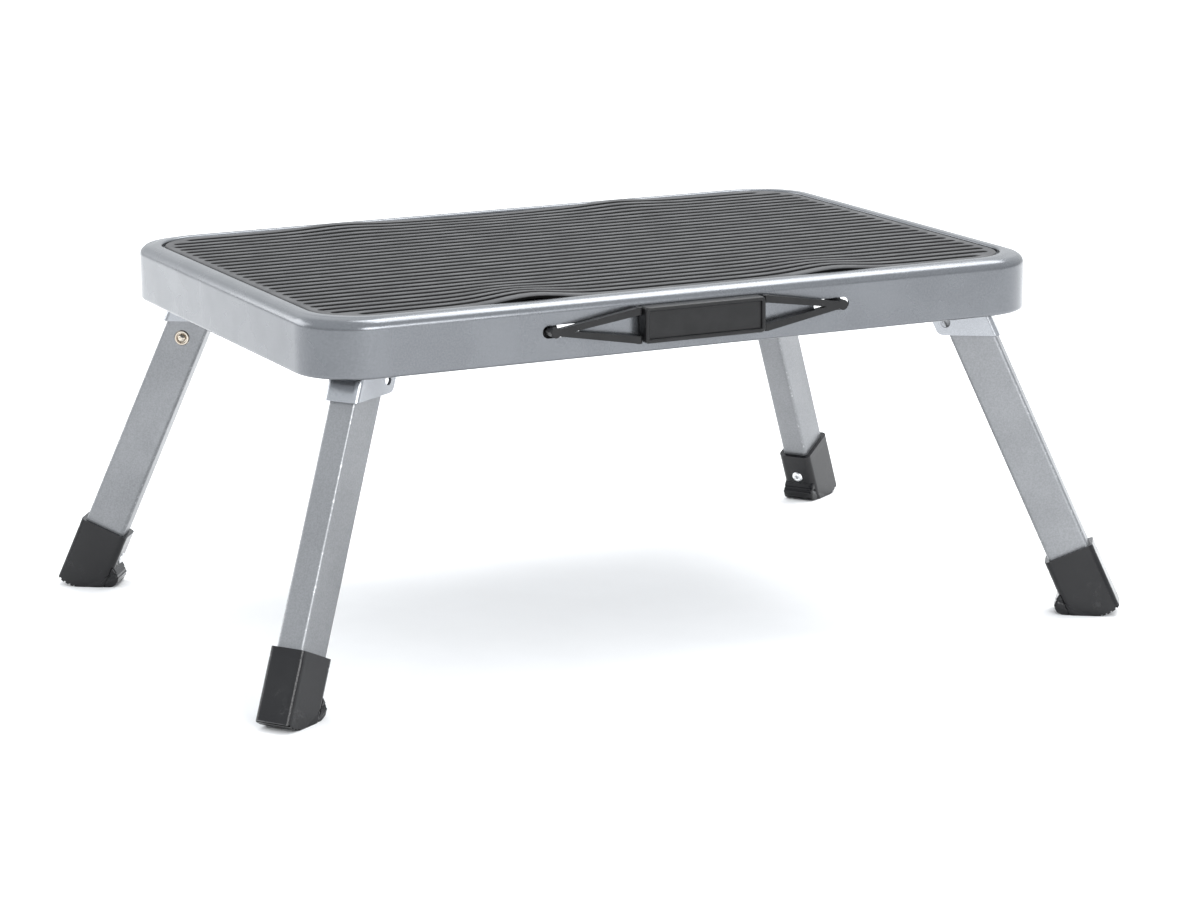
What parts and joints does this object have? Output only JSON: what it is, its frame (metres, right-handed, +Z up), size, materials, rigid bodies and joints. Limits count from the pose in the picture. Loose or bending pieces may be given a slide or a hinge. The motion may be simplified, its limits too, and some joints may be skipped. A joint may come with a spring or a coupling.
{
  "type": "folding step stool",
  "caption": "Low folding step stool: pressed steel tray on folding splayed legs, with a ribbed rubber mat and a pull-out carry handle.",
  "frame": {"origin": "on the floor, under the middle of the tray", "axes": "+X along the long side of the tray, +Y from the carry-handle side to the opposite side, +Z up"},
  "size_m": [0.577, 0.4022, 0.227],
  "materials": {
    "tray_paint": "smooth silver-grey metallic paint",
    "bracket_paint": "smooth silver-grey metallic paint",
    "leg_paint": "smooth silver-grey metallic paint",
    "stiffener_paint": "smooth silver-grey metallic paint",
    "mat_rubber": "ribbed matt rubber",
    "foot_rubber": "moulded rubber with a slight sheen",
    "handle_plastic": "moulded black plastic",
    "pin_steel": "zinc-plated",
    "rivet_aluminium": "bright",
    "button_nickel": "polished nickel plate",
    "spring_steel": "spring strip"
  },
  "bodies": {
    "platform": {"platform_tray": "tray_paint", "anti_slip_mat": "mat_rubber", "panel_stiffener": "stiffener_paint", "leg_bracket_front_left": "bracket_paint", "pivot_pin_front_left": "pin_steel", "leg_bracket_back_left": "bracket_paint", "pivot_pin_back_left": "pin_steel", "leg_bracket_front_right": "bracket_paint", "pivot_pin_front_right": "pin_steel", "leg_bracket_back_right": "bracket_paint", "pivot_pin_back_right": "pin_steel"},
    "leg_front_left": {"leg_tube_front_left": "leg_paint", "foot_front_left": "foot_rubber", "foot_rivet_front_left": "rivet_aluminium"},
    "button_front_left": {"lock_button_front_left": "button_nickel", "button_spring_front_left": "spring_steel"},
    "leg_back_left": {"leg_tube_back_left": "leg_paint", "foot_back_left": "foot_rubber", "foot_rivet_back_left": "rivet_aluminium"},
    "button_back_left": {"lock_button_back_left": "button_nickel", "button_spring_back_left": "spring_steel"},
    "leg_front_right": {"leg_tube_front_right": "leg_paint", "foot_front_right": "foot_rubber", "foot_rivet_front_right": "rivet_aluminium"},
    "button_front_right": {"lock_button_front_right": "button_nickel", "button_spring_front_right": "spring_steel"},
    "leg_back_right": {"leg_tube_back_right": "leg_paint", "foot_back_right": "foot_rubber", "foot_rivet_back_right": "rivet_aluminium"},
    "button_back_right": {"lock_button_back_right": "button_nickel", "button_spring_back_right": "spring_steel"},
    "handle_grip": {"handle_grip": "handle_plastic"},
    "handle_arm_left": {"handle_arm_left": "handle_plastic"},
    "handle_arm_right": {"handle_arm_right": "handle_plastic"}
  },
  "joints": [
    {"name": "leg_fold_front_left", "type": "hinge", "parent": "platform", "child": "leg_front_left", "pos_m": [-0.2, -0.1364, 0.1925], "axis": [0.5592, -0.829, 0], "range_deg": [0, 114]},
    {"name": "button_press_front_left", "type": "slide", "parent": "leg_front_left", "child": "button_front_left", "axis": [0.5592, -0.829, 0], "range_m": [0, 0.0022], "stiffness_N_per_m": 1500, "springref_m": -0.001},
    {"name": "leg_fold_back_left", "type": "hinge", "parent": "platform", "child": "leg_back_left", "pos_m": [-0.2, 0.1364, 0.1925], "axis": [-0.5592, -0.829, 0], "range_deg": [0, 114]},
    {"name": "button_press_back_left", "type": "slide", "parent": "leg_back_left", "child": "button_back_left", "axis": [0.5592, 0.829, 0], "range_m": [0, 0.0022], "stiffness_N_per_m": 1500, "springref_m": -0.001},
    {"name": "leg_fold_front_right", "type": "hinge", "parent": "platform", "child": "leg_front_right", "pos_m": [0.2, -0.1364, 0.1925], "axis": [0.5592, 0.829, 0], "range_deg": [0, 114]},
    {"name": "button_press_front_right", "type": "slide", "parent": "leg_front_right", "child": "button_front_right", "axis": [-0.5592, -0.829, 0], "range_m": [0, 0.0022], "stiffness_N_per_m": 1500, "springref_m": -0.001},
    {"name": "leg_fold_back_right", "type": "hinge", "parent": "platform", "child": "leg_back_right", "pos_m": [0.2, 0.1364, 0.1925], "axis": [-0.5592, 0.829, 0], "range_deg": [0, 114]},
    {"name": "button_press_back_right", "type": "slide", "parent": "leg_back_right", "child": "button_back_right", "axis": [-0.5592, 0.829, 0], "range_m": [0, 0.0022], "stiffness_N_per_m": 1500, "springref_m": -0.001},
    {"name": "handle_pull", "type": "slide", "parent": "platform", "child": "handle_grip", "axis": [0, -1, 0], "range_m": [0, 0.025]},
    {"name": "handle_flex_left", "type": "hinge", "parent": "handle_grip", "child": "handle_arm_left", "pos_m": [-0.04185, -0.176, 0.2095], "axis": [0, 0, -1], "range_deg": [0, 30]},
    {"name": "handle_flex_right", "type": "hinge", "parent": "handle_grip", "child": "handle_arm_right", "pos_m": [0.04185, -0.176, 0.2095], "axis": [0, 0, 1], "range_deg": [0, 30]}
  ],
  "couplings": [
    {"joint": "handle_flex_left", "follows": "handle_pull", "rad_per_m": 20.1},
    {"joint": "handle_flex_right", "follows": "handle_pull", "rad_per_m": 20.1}
  ]
}
